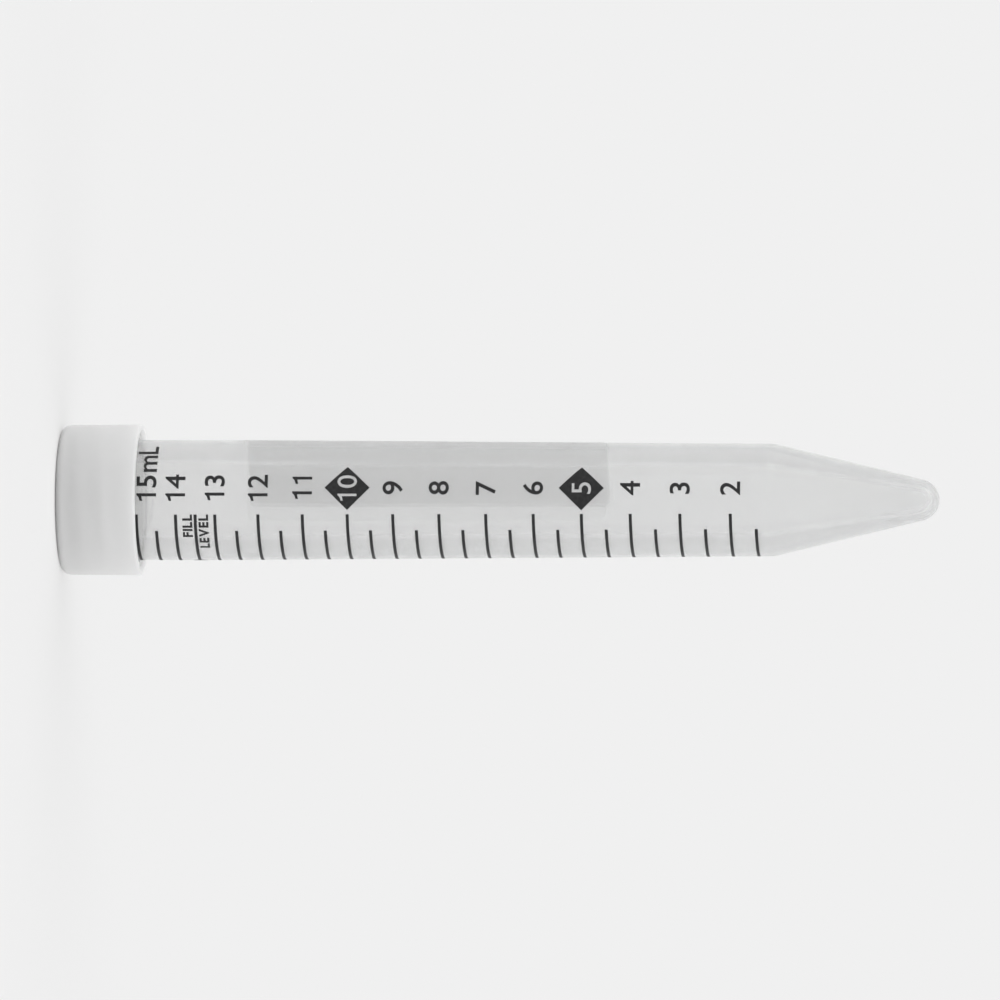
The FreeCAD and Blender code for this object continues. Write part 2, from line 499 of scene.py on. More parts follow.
@dataclass
class ClearTube:
    """The clear moulding: a threaded neck, a drafted body, and a cone with a round tip.

    Its sizes are the solid's, in millimetres. The tube stands on its rim, tip up.
    """

    rim: float = 1.5
    top: float = 120.0
    body_radius: float = 8.2
    body_band: float = 10.0
    body_draft: float = 0.55
    neck_rise: float = 0.4
    neck_length: float = 8.9
    neck_step: float = 0.4
    neck_round: float = 0.25
    cone_length: float = 22.5
    tip_round: float = 2.85
    mouth_wall: float = 0.5
    mouth_bore_depth: float = 19.5
    bore_taper_length: float = 3.0
    body_wall: float = 0.9
    shoulder_wall: float = 0.9
    bore_cone_rise: float = 0.5
    tip_wall: float = 1.2
    tip_bore_round: float = 1.7
    rim_round: float = 0.2
    shoulder_round: float = 5.0
    taper_round: float = 2.0
    thread_start: float = 3.0
    thread_spacing: float = 0.12
    rings: int = 256

    def outside(self) -> list[Point]:
        """Follow the outside of the section.

        Returns:
            Its points, from the tip on the axis to the middle of the rim's face.
        """
        shoulder = Corner(self.shoulder_radius, self.shoulder, self.shoulder_round)
        tip, flank = round_tip(shoulder, self.top, self.tip_round)
        neck = self.body_radius + self.neck_rise
        run = outline(
            flank,
            shoulder,
            Corner(self.body_radius, self.band_end),
            Corner(self.body_radius, self.neck_end + self.neck_step, self.neck_round),
            Corner(neck, self.neck_end, self.neck_round, self.thread_spacing),
            Corner(neck, self.rim, self.rim_round),
            Corner(self.rim_middle, self.rim),
        )
        return tip[:-1] + run

    def bore(self) -> list[Point]:
        """Follow the bore.

        Returns:
            Its points, from the middle of the rim's face to its tip on the axis.
        """
        mouth = self.body_radius - self.mouth_wall
        body = self.body_radius - self.body_wall
        mouth_end = self.rim + self.mouth_bore_depth
        shoulder = Corner(
            self.shoulder_radius - self.shoulder_wall,
            self.shoulder - self.bore_cone_rise,
            self.shoulder_round,
        )
        tip, flank = round_tip(shoulder, self.top - self.tip_wall, self.tip_bore_round)
        run = outline(
            Corner(self.rim_middle, self.rim),
            Corner(mouth, self.rim, self.rim_round),
            Corner(mouth, mouth_end, self.taper_round),
            Corner(body, mouth_end + self.bore_taper_length, self.taper_round),
            shoulder,
            flank,
        )
        return run + tip[-2::-1]

    @property
    def rim_middle(self) -> float:
        """Radius of the middle of the rim's face."""
        return self.body_radius - (self.mouth_wall - self.neck_rise) / 2

    @property
    def neck_end(self) -> float:
        """Height at which the neck ends."""
        return self.rim + self.neck_length

    @property
    def band_end(self) -> float:
        """Height at which the body's draft starts."""
        return self.neck_end + self.neck_step + self.body_band

    @property
    def shoulder(self) -> float:
        """Height at which the cone starts."""
        return self.top - self.cone_length

    @property
    def shoulder_radius(self) -> float:
        """Radius of the body where the cone starts."""
        return self.body_radius - self.body_draft

    def wall_radius(self, height: float) -> float:
        """Radius of the body's outside at a height between the neck and the shoulder."""
        share = (height - self.band_end) / (self.shoulder - self.band_end)
        return self.body_radius - self.body_draft * max(0.0, share)

    def fill_level(self, millilitres: float) -> float:
        """Find where the surface of a volume stands, filled from the tip, by adding up the bore.

        Args:
            millilitres: The volume.

        Returns:
            The height above the floor, in millimetres, with the tube stood on its rim.
        """
        left = millilitres / MM
        bore = self.bore()[::-1]
        for (near, high), (far, low) in zip(bore, bore[1:]):
            slice_volume = math.pi / 3 * (high - low) * (near**2 + near * far + far**2)
            if slice_volume > left:
                share = left / slice_volume
                if not math.isclose(near, far):
                    surface = math.cbrt(near**3 + share * (far**3 - near**3))
                    share = (surface - near) / (far - near)
                return high - (high - low) * share
            left -= slice_volume
        raise ValueError(f"{millilitres} ml doesn't fit in the bore")

    def build(self, threads: bpy.types.NodeTree, material: bpy.types.Material) -> bpy.types.Object:
        """Make the tube as one closed shell, with the thread raised on its neck.

        Args:
            threads: The screw_thread tree.
            material: The plastic.

        Returns:
            The tube.
        """
        shell = turned(self.outside() + self.bore()[1:], self.rings)
        tube = add_object("clear_tube", mesh_from(shell, "clear_tube"))
        thread = Thread(self.body_radius + self.neck_rise, Side.OUTSIDE, self.thread_start)
        run_tree(tube, threads, thread.values() | {"Material": material})
        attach(tube, "tube")
        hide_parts("tube")
        return tube


@dataclass
class ScrewCap:
    """The cap: a flat top, a smooth drafted skirt with the thread inside, and a sealing plug.

    Its sizes are the solid's, in millimetres. It lies on its top.
    """

    height: float = 11.0
    top: float = 1.5
    skirt_bore: float = 9.2
    skirt_wall: float = 1.1
    draft: float = 0.1
    crown_round: float = 1.3
    skirt_end_round: float = 0.3
    skirt_lead_in: float = 0.4
    skirt_lead_in_round: float = 0.08
    skirt_foot_round: float = 0.3
    plug_radius: float = 7.58
    plug_length: float = 2.8
    plug_wall: float = 0.9
    plug_draft: float = 0.25
    plug_lead_in: float = 0.45
    plug_end_round: float = 0.1
    plug_foot_round: float = 0.12
    plug_bore_foot_round: float = 0.2
    gate_radius: float = 2.0
    gate_floor_radius: float = 1.7
    gate_depth: float = 0.4
    gate_round: float = 0.12
    gate_stub_radius: float = 0.55
    gate_stub_height: float = 0.22
    gate_stub_round: float = 0.08
    thread_start: float = 3.0
    thread_phase: float = 0.5
    thread_spacing: float = 0.12
    rings: int = 256

    def section(self) -> list[Point]:
        """Follow the section.

        Returns:
            Its points, from the gate's stub on the axis round the skirt to the underside.
        """
        outside = self.skirt_bore + self.skirt_wall
        plug_bore = self.plug_radius - self.plug_wall
        plug_end = self.top + self.plug_length
        lead_in = self.height - self.skirt_lead_in
        stub = self.gate_depth - self.gate_stub_height
        stub_foot = self.gate_stub_radius + self.gate_stub_round
        return outline(
            Corner(0.0, stub),
            Corner(self.gate_stub_radius, stub, self.gate_stub_round),
            Corner(stub_foot, self.gate_depth, self.gate_stub_round),
            Corner(self.gate_floor_radius, self.gate_depth, self.gate_round),
            Corner(self.gate_radius, 0.0, self.gate_round),
            Corner(outside - self.draft, 0.0, self.crown_round),
            Corner(outside, self.height, self.skirt_end_round),
            Corner(self.skirt_bore + self.skirt_lead_in, self.height, self.skirt_lead_in_round),
            Corner(self.skirt_bore, lead_in, self.skirt_lead_in_round, self.thread_spacing),
            Corner(self.skirt_bore, self.top, self.skirt_foot_round),
            Corner(self.plug_radius, self.top, self.plug_foot_round),
            Corner(self.plug_radius, plug_end - self.plug_lead_in, self.plug_end_round),
            Corner(self.plug_radius - self.plug_lead_in, plug_end, self.plug_end_round),
            Corner(plug_bore, plug_end, self.plug_end_round),
            Corner(plug_bore - self.plug_draft, self.top, self.plug_bore_foot_round),
            Corner(0.0, self.top),
        )

    def build(self, threads: bpy.types.NodeTree, material: bpy.types.Material) -> bpy.types.Object:
        """Make the cap as one closed shell, with the thread raised inside its skirt.

        Args:
            threads: The screw_thread tree.
            material: The plastic.

        Returns:
            The cap.
        """
        cap = add_object("screw_cap", mesh_from(turned(self.section(), self.rings), "screw_cap"))
        thread = Thread(self.skirt_bore, Side.INSIDE, self.thread_start, self.thread_phase)
        run_tree(cap, threads, thread.values() | {"Material": material})
        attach(cap, "cap")
        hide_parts("cap")
        return cap


# ---------------------------------------------------------------- print


# Shares of the font's size.
CAPITAL = 0.682  # height of a capital
DIGIT_PITCH = 0.5  # what every digit takes up of a line
LETTER_GAP = 0.07  # what stands between letters
SAME_PLACE = 1e-5  # how near two points are that count as one

CURVE_STEPS = 4  # how finely each curve of a letter is drawn
MITRE_LIMIT = 0.5  # keeps a sharp corner from being pushed out without end
SHARP_ANGLE = math.radians(40)  # an edge of the ink that turns more than this shows as one
STROKE_VERTICES = 41  # along a stroke, so that it bends smoothly round the wall

# A 1 with a flag, in place of the font's bare bar.
FLAGGED_ONE = [
    (0.254, 0.0),
    (0.33, 0.0),
    (0.33, CAPITAL),
    (0.289, CAPITAL),
    (0.224, CAPITAL - 0.07),
    (0.104, CAPITAL - 0.115),
    (0.104, 0.5),
    (0.254, 0.535),
]


def join(sheets: Iterable[bmesh.types.BMesh]) -> bmesh.types.BMesh:
    """Join meshes that are being built.

    Args:
        sheets: The meshes, which are freed.

    Returns:
        All of them as one.
    """
    whole = bmesh.new()
    passing = bpy.data.meshes.new("passing")
    for sheet in sheets:
        sheet.to_mesh(passing)
        sheet.free()
        whole.from_mesh(passing)
    bpy.data.meshes.remove(passing)
    return whole


def flat_shape(shape: list[Point]) -> bmesh.types.BMesh:
    """Fill a flat shape.

    Args:
        shape: Its corners in order.

    Returns:
        The shape as a sheet of one face.
    """
    sheet = bmesh.new()
    sheet.faces.new([sheet.verts.new((x, y, 0)) for x, y in shape])
    return sheet


def away(edge: bmesh.types.BMEdge) -> Vector:
    """Find the direction in which a rim edge of a flat sheet faces.

    Args:
        edge: The edge, which has one face.

    Returns:
        The direction in the sheet's plane that leads away from that face.
    """
    loop = edge.link_loops[0]
    along = loop.link_loop_next.vert.co - loop.vert.co
    return along.cross(loop.face.normal).normalized()


def embolden(sheet: bmesh.types.BMesh, weight: float) -> None:
    """Push the outline of a flat sheet outwards, which makes a letter's strokes bolder.

    Args:
        sheet: The letter.
        weight: How far its outline is pushed.
    """
    sheet.normal_update()
    steps = {}
    for vert in sheet.verts:
        rim = [away(edge) for edge in vert.link_edges if len(edge.link_faces) == 1]
        if len(rim) == 2:
            steps[vert] = (rim[0] + rim[1]) / max(MITRE_LIMIT, 1 + rim[0].dot(rim[1]))
    for vert, step in steps.items():
        vert.co += step * weight


def glyph(letter: str) -> bmesh.types.BMesh:
    """Take one letter from the font.

    Args:
        letter: The letter.

    Returns:
        It as a flat sheet in the font's own size, with its left bearing.
    """
    if letter == "1":
        return flat_shape(FLAGGED_ONE)
    curve = bpy.data.curves.new("glyph", "FONT")
    curve.body = letter
    curve.resolution_u = CURVE_STEPS
    holder = bpy.data.objects.new("glyph", curve)
    bpy.context.scene.collection.objects.link(holder)
    mesh = plain_mesh(holder)
    bpy.data.objects.remove(holder)
    bpy.data.curves.remove(curve)
    sheet = bmesh.new()
    sheet.from_mesh(mesh)
    bpy.data.meshes.remove(mesh)
    bmesh.ops.remove_doubles(sheet, verts=sheet.verts, dist=SAME_PLACE)
    return sheet


def reach(sheet: bmesh.types.BMesh, axis: int) -> tuple[float, float]:
    """The lowest and highest place of a sheet on an axis."""
    places = [vert.co[axis] for vert in sheet.verts]
    return min(places), max(places)


def lettering(text: str, height: float, width: float, weight: float) -> bmesh.types.BMesh:
    """Set flat letters in millimetres, centred on the origin.

    Args:
        text: The letters.
        height: The height of a capital.
        width: How wide they run, as a share of the font's own width.
        weight: How far the outlines are pushed out, as a share of the font's size.

    Returns:
        The letters as a flat sheet.
    """
    pen, letters = 0.0, []
    for letter in text:
        sheet = glyph(letter)
        embolden(sheet, weight)
        if not letter.isdigit():
            pen += LETTER_GAP + weight - reach(sheet, 0)[0]
        bmesh.ops.translate(sheet, vec=(pen, 0, 0), verts=sheet.verts)
        pen = pen + DIGIT_PITCH if letter.isdigit() else reach(sheet, 0)[1]
        letters.append(sheet)
    whole = join(letters)
    low, high = reach(whole, 0)
    scale = height / (CAPITAL + 2 * weight)
    bmesh.ops.translate(whole, vec=(-(low + high) / 2, -CAPITAL / 2, 0), verts=whole.verts)
    bmesh.ops.scale(whole, vec=(scale * width, scale, 1), verts=whole.verts)
    return whole


def cut_out(shape: list[Point], letters: bmesh.types.BMesh) -> bmesh.types.BMesh:
    """Fill a flat shape, with letters left open in it.

    Args:
        shape: The corners of the shape.
        letters: The letters, which are freed.

    Returns:
        The shape as a flat sheet.
    """
    sheet = bmesh.new()
    twins = {}
    for edge in letters.edges:
        if len(edge.link_faces) == 1:
            for vert in edge.verts:
                if vert not in twins:
                    twins[vert] = sheet.verts.new(vert.co)
            sheet.edges.new([twins[vert] for vert in edge.verts])
    letters.free()
    corners = [sheet.verts.new((x, y, 0)) for x, y in shape]
    for here, after in zip(corners, corners[1:] + corners[:1]):
        sheet.edges.new((here, after))
    bmesh.ops.triangle_fill(sheet, use_beauty=True, edges=sheet.edges)
    return sheet


@dataclass
class Printer:
    """Lays flat ink on the tube's body, as a screen that the tube rolls under does.

    Sizes are in millimetres.

    Attributes:
        tube: The tube that takes the ink.
        sink: How far the ink reaches into the wall, so that no gap shows under it.
        stand: How far it stands off the wall.
        strip: The widest flat strip that is bent round the wall as one.
    """

    tube: ClearTube
    sink: float = 0.01
    stand: float = 0.02
    strip: float = 0.25

    def lay(self, sheet: bmesh.types.BMesh, angle: float, level: float) -> None:
        """Bend a flat sheet round the wall and give it the ink's thickness.

        The sheet's x runs back round the tube, against the angle, and its y runs down, to the cap,
        so that letters read from outside with their heads to the cap.

        Args:
            sheet: The sheet, in millimetres about its own origin.
            angle: Where its origin goes round the tube, in radians.
            level: Where its origin goes up the tube.
        """
        low, high = reach(sheet, 0)
        for strip in range(math.ceil(low / self.strip), math.floor(high / self.strip) + 1):
            bmesh.ops.bisect_plane(
                sheet,
                geom=sheet.verts[:] + sheet.edges[:] + sheet.faces[:],
                plane_co=(strip * self.strip, 0, 0),
                plane_no=(1, 0, 0),
            )
        inner, faces = sheet.verts[:], sheet.faces[:]
        rim = [edge for edge in sheet.edges if len(edge.link_faces) == 1]
        outer = {vert: sheet.verts.new(vert.co) for vert in inner}
        for face in faces:
            sheet.faces.new([outer[vert] for vert in face.verts])
        for edge in rim:
            first, last = edge.verts
            sheet.faces.new((first, last, outer[last], outer[first]))
        for layer, off in ((inner, -self.sink), (outer.values(), self.stand)):
            for vert in layer:
                height = level - vert.co.y
                radius = self.tube.wall_radius(height) + off
                turn = angle - vert.co.x / self.tube.wall_radius(level)
                vert.co = (radius * math.sin(turn), -radius * math.cos(turn), height)
        bmesh.ops.recalc_face_normals(sheet, faces=sheet.faces)

    def dress(self, piece: bpy.types.Object, slot: Slot) -> bpy.types.Object:
        """Shade a printed piece, and put it on the tube.

        Args:
            piece: The piece.
            slot: Not used.

        Returns:
            The piece.
        """
        piece.data.shade_smooth()
        piece.data.set_sharp_from_angle(angle=SHARP_ANGLE)
        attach(piece, "tube")
        return piece

    def finish(
        self, name: str, sheets: Iterable[bmesh.types.BMesh], ink: bpy.types.Material, slot: Slot
    ) -> bpy.types.Object:
        """Join laid sheets into one piece.

        Args:
            name: The piece's name.
            sheets: The laid sheets, which are freed.
            ink: The ink's material.
            slot: Not used, only handed on to dress.

        Returns:
            The piece.
        """
        mesh = mesh_from(join(sheets), name)
        mesh.materials.append(ink)
        return self.dress(add_object(name, mesh), slot)


def marks_tree() -> bpy.types.NodeTree:
    """Build the tree that lays one stroke of ink for each point it is given.

    A point's x is the angle at which its stroke starts and its y is the stroke's level. Its own
    attribute, span, is the angle that the stroke covers.

    Returns:
        The tree, with inputs for the stroke, the wall, the ink's two depths and the material.
    """
    sizes = ("Stroke", "Band End", "Band Radius", "Shoulder", "Shoulder Radius", "Sink", "Stand")
    tree, given = new_tree("volume_marks", sizes)
    size = given.outputs
    thick = add_node(tree, "ShaderNodeMath", {0: size["Sink"], 1: size["Stand"]}, operation="ADD")
    bar = add_node(tree, "GeometryNodeMeshCube", {"Size": (1, 1, 1), "Vertices X": STROKE_VERTICES})
    bar = add_node(tree, "GeometryNodeTransform", {"Geometry": bar, "Translation": (0.5, 0.0, 0.5)})
    span = add_node(tree, "GeometryNodeInputNamedAttribute", {"Name": "span"}, data_type="FLOAT")
    scale = add_node(tree, "ShaderNodeCombineXYZ", {0: span, 1: size["Stroke"], 2: thick})
    marks = {"Points": size["Geometry"], "Instance": bar, "Scale": scale}
    bars = add_node(tree, "GeometryNodeInstanceOnPoints", marks)
    real = add_node(tree, "GeometryNodeRealizeInstances", {"Geometry": bars})

    place = tree.nodes.new("GeometryNodeInputPosition")
    turn, y, z = add_node(tree, "ShaderNodeSeparateXYZ", {0: place}).outputs
    draft = {
        "Value": y,
        "From Min": size["Band End"],
        "From Max": size["Shoulder"],
        "To Min": size["Band Radius"],
        "To Max": size["Shoulder Radius"],
    }
    wall = add_node(tree, "ShaderNodeMapRange", draft)
    inner = add_node(tree, "ShaderNodeMath", {0: wall, 1: size["Sink"]}, operation="SUBTRACT")
    radius = add_node(tree, "ShaderNodeMath", {0: inner, 1: z}, operation="ADD")
    sine = add_node(tree, "ShaderNodeMath", {0: turn}, operation="SINE")
    cosine = add_node(tree, "ShaderNodeMath", {0: turn}, operation="COSINE")
    cosine = add_node(tree, "ShaderNodeMath", {0: cosine, 1: -1.0}, operation="MULTIPLY")
    across = add_node(tree, "ShaderNodeMath", {0: sine, 1: radius}, operation="MULTIPLY")
    depth = add_node(tree, "ShaderNodeMath", {0: cosine, 1: radius}, operation="MULTIPLY")
    wrapped = add_node(tree, "ShaderNodeCombineXYZ", {0: across, 1: depth, 2: y})
    bent = add_node(tree, "GeometryNodeSetPosition", {"Geometry": real, "Position": wrapped})
    end_tree(tree, bent, size["Material"])
    return tree


@dataclass
class VolumeScale:
    """The printed scale: a stroke for every half millilitre, and numbers beside the whole ones.

    Sizes are in millimetres, angles in degrees round the tube and volumes in millilitres. A weight
    is what the letters' outlines are pushed out by, as a share of the font's size.

    Attributes:
        tube: The tube that the scale is printed on, whose bore gives the levels.
        printer: Lays the ink.
        ink: The ink's material.
        lowest: The lowest mark.
        highest: The highest mark.
        marks_per_ml: How many marks a millilitre has.
        limit: The level that has the long stroke with the small diamond at its end.
        stroke: The height of a stroke.
        far_end: The angle at which every stroke ends.
        long_start: The angle at which a whole millilitre's stroke starts.
        short_start: The angle at which a half's does.
        number_angle: The middle of the numbers.
        number_height: Their height.
        number_width: Their width, as a share of the font's own.
        number_weight: Their weight.
        unit: What follows the highest number.
        top_number_shift: How far the highest number stands off its stroke, away from the cap.
        in_diamonds: The numbers that are left open in a diamond.
        diamond_length: Half a diamond's length up the tube.
        diamond_width: Half its width.
        diamond_number_height: The height of its number.
        diamond_number_weight: The weight of its number.
        small_diamond: Half the size of the limit's diamond.
        word_height: The height of the words at the limit.
        word_width: Their width, as a share of the font's own.
        word_weight: Their weight.
        word_gap: What stands between the stroke and a word.
        words: The words on the stroke's two sides.
    """

    tube: ClearTube
    printer: Printer
    ink: bpy.types.Material
    lowest: float = 1.5
    highest: float = 15.0
    marks_per_ml: int = 2
    limit: float = 13.5
    stroke: float = 0.42
    far_end: float = 88.7
    long_start: float = 14.0
    short_start: float = 31.0
    number_angle: float = -12.0
    number_height: float = 2.7
    number_width: float = 1.08
    number_weight: float = 0.012
    unit: str = "mL"
    top_number_shift: float = 1.4
    in_diamonds: tuple[int, ...] = (5, 10)
    diamond_length: float = 3.08
    diamond_width: float = 3.05
    diamond_number_height: float = 2.6
    diamond_number_weight: float = 0.004
    small_diamond: float = 0.95
    word_height: float = 1.35
    word_width: float = 1.0
    word_weight: float = 0.04
    word_gap: float = 0.22
    words: tuple[str, str] = ("FILL", "LEVEL")

    def volumes(self) -> list[float]:
        """Every marked volume."""
        count = round((self.highest - self.lowest) * self.marks_per_ml)
        return [self.lowest + step / self.marks_per_ml for step in range(count + 1)]

    def build_strokes(self, tree: bpy.types.NodeTree) -> bpy.types.Object:
        """Lay the strokes.

        Args:
            tree: The volume_marks tree.

        Returns:
            The strokes as one piece.
        """
        mesh = bpy.data.meshes.new("scale_strokes")
        starts, spans = [], []
        for volume in self.volumes():
            whole = volume == int(volume) or volume == self.limit
            start = self.long_start if whole else self.short_start
            starts.append((math.radians(start), self.tube.fill_level(volume) * MM, 0.0))
            spans.append(math.radians(self.far_end - start))
        mesh.from_pydata(starts, [], [])
        mesh.attributes.new("span", "FLOAT", "POINT").data.foreach_set("value", spans)
        strokes = add_object("scale_strokes", mesh)
        values = {
            "Stroke": self.stroke * MM,
            "Band End": self.tube.band_end * MM,
            "Band Radius": self.tube.body_radius * MM,
            "Shoulder": self.tube.shoulder * MM,
            "Shoulder Radius": self.tube.shoulder_radius * MM,
            "Sink": self.printer.sink * MM,
            "Stand": self.printer.stand * MM,
            "Material": self.ink,
        }
        run_tree(strokes, tree, values)
        return self.printer.dress(strokes, Slot.BLACK)

    def diamond_shape(self, width: float, length: float) -> list[Point]:
        """The corners of a diamond about the origin, from half its width and half its length."""
        return [(width, 0), (0, length), (-width, 0), (0, -length)]

    def number_sheet(self, volume: int) -> bmesh.types.BMesh:
        """Set the number of a whole volume, in a diamond where it has one.

        Args:
            volume: The volume.

        Returns:
            The number as a flat sheet.
        """
        text = str(volume)
        if volume in self.in_diamonds:
            height, weight = self.diamond_number_height, self.diamond_number_weight
            letters = lettering(text, height, self.number_width, weight)
            return cut_out(self.diamond_shape(self.diamond_width, self.diamond_length), letters)
        if volume == self.highest:
            text += self.unit
        return lettering(text, self.number_height, self.number_width, self.number_weight)

    def build_numbers(self) -> bpy.types.Object:
        """Lay the numbers.

        Returns:
            The numbers as one piece.
        """
        sheets = []
        for volume in range(math.ceil(self.lowest), int(self.highest) + 1):
            sheet = self.number_sheet(volume)
            angle = math.radians(self.number_angle)
            level = self.tube.fill_level(volume)
            if volume == self.highest:  # clear of the cap, and the unit follows the digits' column
                level += self.top_number_shift
                digits = self.number_sheet(volume - 1)
                angle -= (reach(sheet, 0)[1] - reach(digits, 0)[1]) / self.tube.wall_radius(level)
                digits.free()
            self.printer.lay(sheet, angle, level)
            sheets.append(sheet)
        return self.printer.finish("scale_numbers", sheets, self.ink, Slot.BLACK)

    def build_limit(self) -> bpy.types.Object:
        """Lay the small diamond at the end of the limit's stroke, and the words beside it.

        Returns:
            The diamond and the words as one piece.
        """
        level = self.tube.fill_level(self.limit)
        mark = flat_shape(self.diamond_shape(self.small_diamond, self.small_diamond))
        self.printer.lay(mark, math.radians(self.far_end), level)
        sheets = [mark]
        for word, side in zip(self.words, (-1, 1)):
            sheet = lettering(word, self.word_height, self.word_width, self.word_weight)
            half = reach(sheet, 0)[1]
            angle = math.radians(self.long_start) + half / self.tube.wall_radius(level)
            off = self.stroke / 2 + self.word_gap + self.word_height / 2
            self.printer.lay(sheet, angle, level + side * off)
            sheets.append(sheet)
        return self.printer.finish("fill_limit", sheets, self.ink, Slot.BLACK)


@dataclass
class WritingPatch:
    """The plain white field for notes, in millimetres and degrees.

    Attributes:
        tube: The tube that it is printed on.
        printer: Lays the ink.
        ink: The ink's material.
        top_volume: The volume level with its end nearer the cap.
        bottom_volume: The volume level with its other end.
        middle: Its middle round the tube.
        span: Its width round the tube.
        corner: The rounding of its corners.
        corner_steps: The number of edges on each rounding.
    """

    tube: ClearTube
    printer: Printer
    ink: bpy.types.Material
    top_volume: float = 12.45
    bottom_volume: float = 4.6
    middle: float = 221.5
    span: float = 97.0
    corner: float = 0.8
    corner_steps: int = 6

    def build(self) -> bpy.types.Object:
        """Lay the patch.

        Returns:
            The patch.
        """
        low, high = (self.tube.fill_level(v) for v in (self.top_volume, self.bottom_volume))
        middle = (low + high) / 2
        across = math.radians(self.span) * self.tube.wall_radius(middle) / 2 - self.corner
        along = (high - low) / 2 - self.corner
        shape = []
        for quarter, (x, y) in enumerate(((1, 1), (-1, 1), (-1, -1), (1, -1))):
            for step in range(self.corner_steps + 1):
                turn = math.pi / 2 * (quarter + step / self.corner_steps)
                out, up = self.corner * math.cos(turn), self.corner * math.sin(turn)
                shape.append((x * across + out, y * along + up))
        sheet = flat_shape(shape)
        self.printer.lay(sheet, math.radians(self.middle), middle)
        return self.printer.finish("writing_patch", [sheet], self.ink, Slot.WHITE)


# ---------------------------------------------------------------- finishes


NOISE_LOW, NOISE_HIGH = 0.3, 0.7  # a noise keeps mostly between these


@dataclass(frozen=True)
class ClearPolypropylene:
    """Clarified polypropylene, injection-moulded through a gate at the tip.

    The eye gets a clear wall with a faint grey milkiness and a low wet gloss. Faint flow lines run
    from the gate towards the rim, and the thick tip round the gate is cloudy.

    Attributes:
        colour: The colour of the milkiness.
        solidity: The share of the light that the thin wall bends or scatters at all. The rest goes
            straight on.
        clearness: The share of that light that a surface lets through as glass does.
        ior: The index of refraction.
        least_rough: Roughness where a flow line is glossiest.
        most_rough: Roughness where it is dullest.
        flow_width: Width of a flow line, in millimetres.
        flow_length: Its length, in millimetres.
        cloud_start: Height at which the tip starts to be cloudy, in millimetres.
        cloud_end: Height from which it is at its cloudiest.
        cloudy_clearness: Clearness there.
        cloudy_rough: What the cloud adds to the roughness.
        depth_colour: The tint that a thick part takes.
        depth_density: How fast it takes it, per metre. A wall of 0.9 mm takes 2 to 3% of the light.
    """

    colour: str = "#F6F6F6"
    solidity: float = 0.56
    clearness: float = 0.72
    ior: float = 1.49
    least_rough: float = 0.09
    most_rough: float = 0.11
    flow_width: float = 2.2
    flow_length: float = 40.0
    cloud_start: float = 105.0
    cloud_end: float = 117.5
    cloudy_clearness: float = 0.66
    cloudy_rough: float = 0.16
    depth_colour: str = "#F0F1F1"
    depth_density: float = 210.0

    def make(self) -> bpy.types.Material:
        """Build the material.

        Returns:
            The material.
        """
        material, tree = new_material(Slot.TUBE.value)
        place = tree.nodes.new("ShaderNodeTexCoord").outputs["Object"]
        across, along = 1 / (self.flow_width * MM), 1 / (self.flow_length * MM)
        stretch = {"Vector": place, "Scale": (across, across, along)}
        flow = add_node(tree, "ShaderNodeMapping", stretch)
        streaks = {"Vector": flow, "Scale": 1.0, "Detail": 3.0}
        glossy_to_dull = {
            "Value": add_node(tree, "ShaderNodeTexNoise", streaks),
            "From Min": NOISE_LOW,
            "From Max": NOISE_HIGH,
            "To Min": self.least_rough,
            "To Max": self.most_rough,
        }
        sheen = add_node(tree, "ShaderNodeMapRange", glossy_to_dull)
        tip = {
            "Value": add_node(tree, "ShaderNodeSeparateXYZ", {0: place}).outputs["Z"],
            "From Min": self.cloud_start * MM,
            "From Max": self.cloud_end * MM,
        }
        clearness, cloud = (
            add_node(
                tree,
                "ShaderNodeMapRange",
                tip | {"To Min": before, "To Max": after},
                interpolation_type="SMOOTHSTEP",
            )
            for before, after in ((self.clearness, self.cloudy_clearness), (0.0, self.cloudy_rough))
        )
        surface = {
            "Base Color": linear(self.colour),
            "Roughness": add_node(tree, "ShaderNodeMath", {0: sheen, 1: cloud}, operation="ADD"),
            "IOR": self.ior,
            "Transmission Weight": clearness,
            "Alpha": self.solidity,
        }
        depth = {"Color": linear(self.depth_colour), "Density": self.depth_density}
        whole = {
            "Surface": add_node(tree, "ShaderNodeBsdfPrincipled", surface),
            "Volume": add_node(tree, "ShaderNodeVolumeAbsorption", depth),
        }
        add_node(tree, "ShaderNodeOutputMaterial", whole)
        return material


